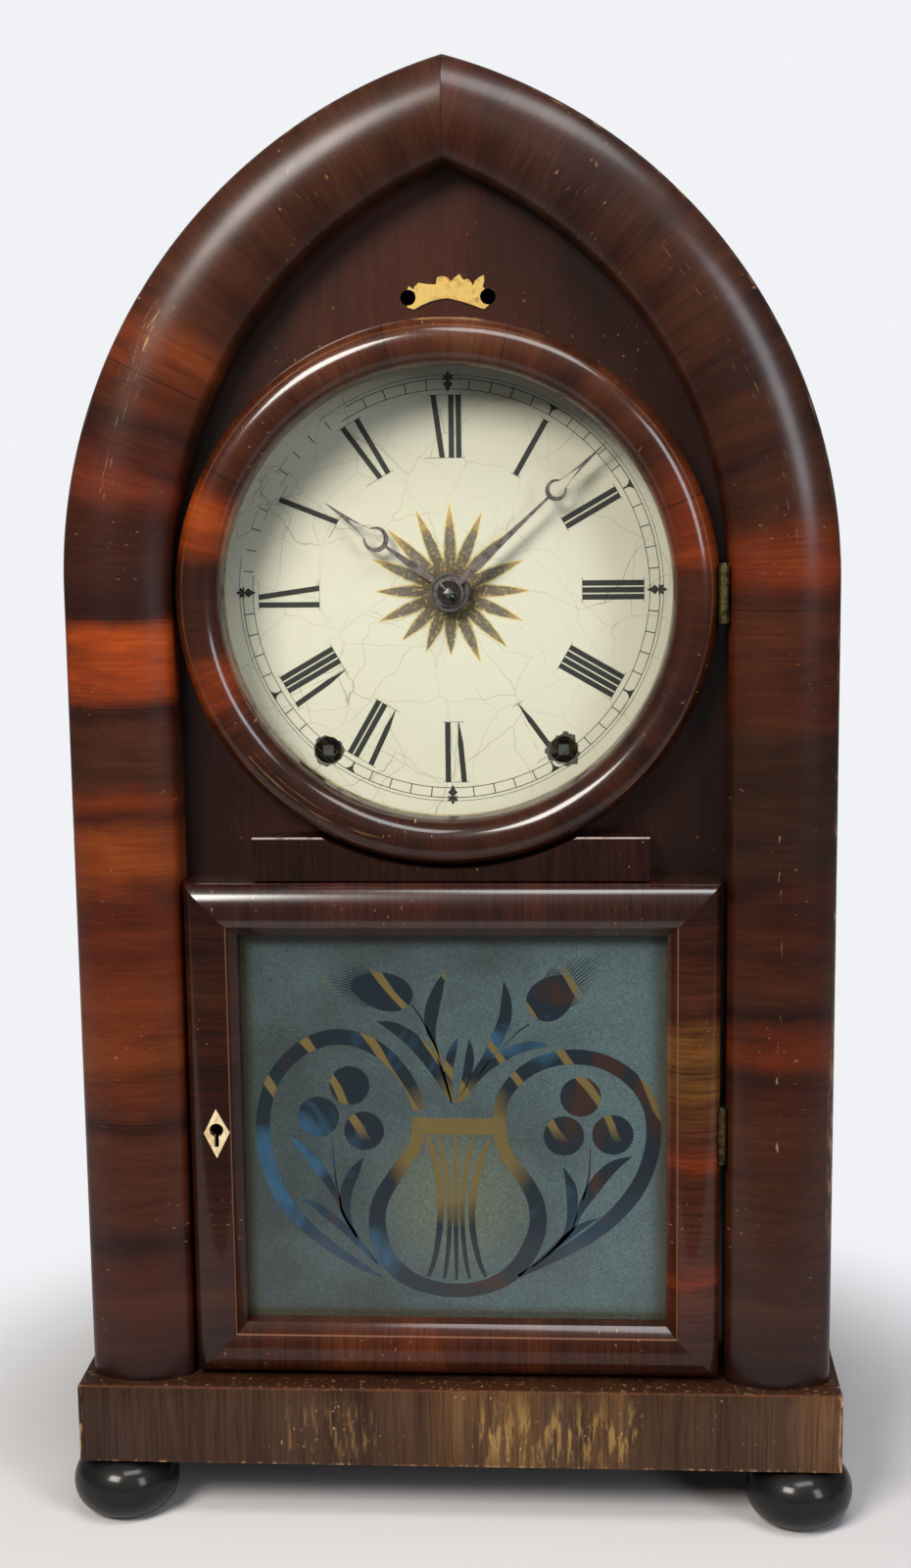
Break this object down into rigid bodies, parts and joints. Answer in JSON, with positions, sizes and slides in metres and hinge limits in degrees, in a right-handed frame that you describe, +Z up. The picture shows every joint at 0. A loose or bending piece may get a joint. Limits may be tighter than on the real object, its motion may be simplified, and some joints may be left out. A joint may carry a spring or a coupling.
{
  "type": "round gothic shelf clock",
  "caption": "Arched shelf clock with a round glazed dial door, a lower door with an etched tablet, a pendulum and a striking movement.",
  "frame": {"origin": "on the ground, under the middle of the base", "axes": "+Z up, +X to the viewer's right, the front faces -Y"},
  "size_m": [0.2776, 0.1124, 0.5009],
  "materials": {
    "case_veneer": "old glossy varnish over crossbanded dark red-brown veneer",
    "panel_veneer": "old glossy varnish over dark brown veneer",
    "side_veneer": "old varnish over dark red-brown veneer",
    "door_veneer": "old glossy varnish, worn to tan at the mitres",
    "base_veneer": "upright grain, varnish worn to gold and tan",
    "foot_black": "glossy black",
    "pine": "unfinished, darkened",
    "gilt": "bright",
    "dial_paint": "cream paint with fine age cracks",
    "clear_glass": "clear",
    "frosted_glass": "frosted, with a clear etched design",
    "putty": "dull",
    "bone": "polished bone, with brown stains",
    "brass": "tarnished",
    "hinge_brass": "dull olive, dusty",
    "steel": "dull grey",
    "spring_steel": "oiled",
    "dark_steel": "dark oxidised steel"
  },
  "bodies": {
    "case": {"plinth_core": "pine", "plinth_front": "base_veneer", "plinth_left": "side_veneer", "plinth_right": "side_veneer", "bun_feet": "foot_black", "arch_moulding_left": "case_veneer", "arch_moulding_right": "case_veneer", "side_shell_left": "side_veneer", "side_shell_right": "side_veneer", "backboard": "pine", "front_panel": "panel_veneer", "step_block": "panel_veneer", "gilt_ornament": "gilt", "dial_blocks": "pine", "dial": "dial_paint", "wood_screws": "steel", "gong_block": "pine", "gong_coil": "spring_steel", "hinge_case_leaves": "hinge_brass", "hinge_pins": "steel", "movement_seat": "pine", "movement_back_plate": "brass", "movement_front_plate": "brass", "plate_pillars": "brass", "mainsprings": "spring_steel"},
    "bezel": {"bezel_ring": "door_veneer", "bezel_glass": "clear_glass", "bezel_putty": "putty", "bezel_hinge_leaf": "hinge_brass"},
    "door": {"door_rail_top": "door_veneer", "door_rail_bottom": "door_veneer", "door_stile_left": "door_veneer", "door_stile_right": "door_veneer", "tablet_glass": "frosted_glass", "glass_beads": "panel_veneer", "door_hinge_leaf": "hinge_brass", "escutcheon": "bone", "lock_case": "steel"},
    "bolt": {"lock_bolt": "steel"},
    "centre_arbor": {"centre_wheel": "brass", "minute_hand": "dark_steel", "hand_collet": "dark_steel"},
    "minute_wheel": {"minute_wheel": "brass"},
    "hour_pipe": {"hour_wheel": "brass", "hour_hand": "dark_steel"},
    "second_wheel": {"second_wheel": "brass"},
    "time_great_wheel": {"time_great_wheel": "brass"},
    "fourth_wheel": {"fourth_wheel": "brass"},
    "escape_wheel": {"escape_wheel": "brass"},
    "pendulum": {"pendulum_rod": "steel", "pendulum_bob": "brass"},
    "verge": {"verge": "steel"},
    "time_winding_arbor": {"time_winding_arbor": "steel"},
    "strike_winding_arbor": {"strike_winding_arbor": "steel"},
    "pin_wheel": {"pin_wheel": "brass"},
    "strike_second_wheel": {"strike_second_wheel": "brass"},
    "strike_great_wheel": {"strike_great_wheel": "brass"},
    "fly": {"fly": "brass"},
    "strike_lever": {"strike_lever": "steel"},
    "hammer": {"hammer": "steel"}
  },
  "joints": [
    {"name": "bezel_hinge", "type": "hinge", "parent": "case", "child": "bezel", "pos_m": [0.0914, -0.0405, 0.3267], "axis": [0, 0, 1], "range_deg": [0, 110]},
    {"name": "door_hinge", "type": "hinge", "parent": "case", "child": "door", "pos_m": [0.0918, -0.0405, 0.1405], "axis": [0, 0, 1], "range_deg": [0, 110]},
    {"name": "bolt_slide", "type": "slide", "parent": "door", "child": "bolt", "axis": [-1, 0, 0], "range_m": [0, 0.004]},
    {"name": "minute_hand_turn", "type": "hinge", "parent": "case", "child": "centre_arbor", "pos_m": [-0.0009, 0.016, 0.3267], "axis": [0, 1, 0], "continuous": true},
    {"name": "minute_wheel_turn", "type": "hinge", "parent": "case", "child": "minute_wheel", "pos_m": [0.01469, 0.016, 0.3177], "axis": [0, 1, 0], "continuous": true},
    {"name": "hour_hand_turn", "type": "hinge", "parent": "case", "child": "hour_pipe", "pos_m": [-0.0009, 0.016, 0.3267], "axis": [0, 1, 0], "continuous": true},
    {"name": "second_wheel_turn", "type": "hinge", "parent": "case", "child": "second_wheel", "pos_m": [0.02276, 0.016, 0.30369], "axis": [0, 1, 0], "continuous": true},
    {"name": "time_great_wheel_turn", "type": "hinge", "parent": "case", "child": "time_great_wheel", "pos_m": [0.038, 0.016, 0.2712], "axis": [0, 1, 0], "continuous": true},
    {"name": "fourth_wheel_turn", "type": "hinge", "parent": "case", "child": "fourth_wheel", "pos_m": [0.00421, 0.016, 0.35342], "axis": [0, 1, 0], "continuous": true},
    {"name": "escape_wheel_turn", "type": "hinge", "parent": "case", "child": "escape_wheel", "pos_m": [-0.0109, 0.016, 0.3747], "axis": [0, 1, 0], "continuous": true},
    {"name": "pendulum_swing", "type": "hinge", "parent": "case", "child": "pendulum", "pos_m": [-0.0109, -0.0094, 0.3957], "axis": [0, 1, 0], "range_deg": [-3.5, 3.5]},
    {"name": "verge_rock", "type": "hinge", "parent": "case", "child": "verge", "pos_m": [-0.0109, -0.004, 0.3957], "axis": [0, 1, 0], "range_deg": [-3.5, 3.5]},
    {"name": "time_winding", "type": "hinge", "parent": "case", "child": "time_winding_arbor", "pos_m": [0.038, 0.016, 0.2712], "axis": [0, 1, 0], "continuous": true},
    {"name": "strike_winding", "type": "hinge", "parent": "case", "child": "strike_winding_arbor", "pos_m": [-0.0445, 0.016, 0.2712], "axis": [0, 1, 0], "continuous": true},
    {"name": "pin_wheel_turn", "type": "hinge", "parent": "case", "child": "pin_wheel", "pos_m": [-0.03237, 0.016, 0.32968], "axis": [0, 1, 0], "continuous": true},
    {"name": "strike_second_wheel_turn", "type": "hinge", "parent": "case", "child": "strike_second_wheel", "pos_m": [-0.02765, 0.016, 0.30289], "axis": [0, 1, 0], "continuous": true},
    {"name": "strike_great_wheel_turn", "type": "hinge", "parent": "case", "child": "strike_great_wheel", "pos_m": [-0.0445, 0.016, 0.2712], "axis": [0, 1, 0], "continuous": true},
    {"name": "fly_turn", "type": "hinge", "parent": "case", "child": "fly", "pos_m": [-0.03727, 0.016, 0.34793], "axis": [0, 1, 0], "continuous": true},
    {"name": "strike_lever_lift", "type": "hinge", "parent": "case", "child": "strike_lever", "pos_m": [0.0021, 0.016, 0.2777], "axis": [0, 1, 0], "range_deg": [0, 5]},
    {"name": "hammer_lift", "type": "hinge", "parent": "case", "child": "hammer", "pos_m": [-0.0089, 0.016, 0.2827], "axis": [0, 1, 0], "range_deg": [0, 12]}
  ],
  "couplings": [
    {"joint": "minute_wheel_turn", "follows": "minute_hand_turn", "ratio": -0.33333},
    {"joint": "hour_hand_turn", "follows": "minute_hand_turn", "ratio": 0.083333},
    {"joint": "second_wheel_turn", "follows": "minute_hand_turn", "ratio": -0.25},
    {"joint": "time_great_wheel_turn", "follows": "minute_hand_turn", "ratio": 0.039062},
    {"joint": "fourth_wheel_turn", "follows": "minute_hand_turn", "ratio": -7.5},
    {"joint": "escape_wheel_turn", "follows": "minute_hand_turn", "ratio": 85.714},
    {"joint": "verge_rock", "follows": "pendulum_swing", "ratio": 1},
    {"joint": "strike_second_wheel_turn", "follows": "pin_wheel_turn", "ratio": -0.13333},
    {"joint": "strike_great_wheel_turn", "follows": "pin_wheel_turn", "ratio": 0.020833},
    {"joint": "fly_turn", "follows": "pin_wheel_turn", "ratio": -8}
  ]
}
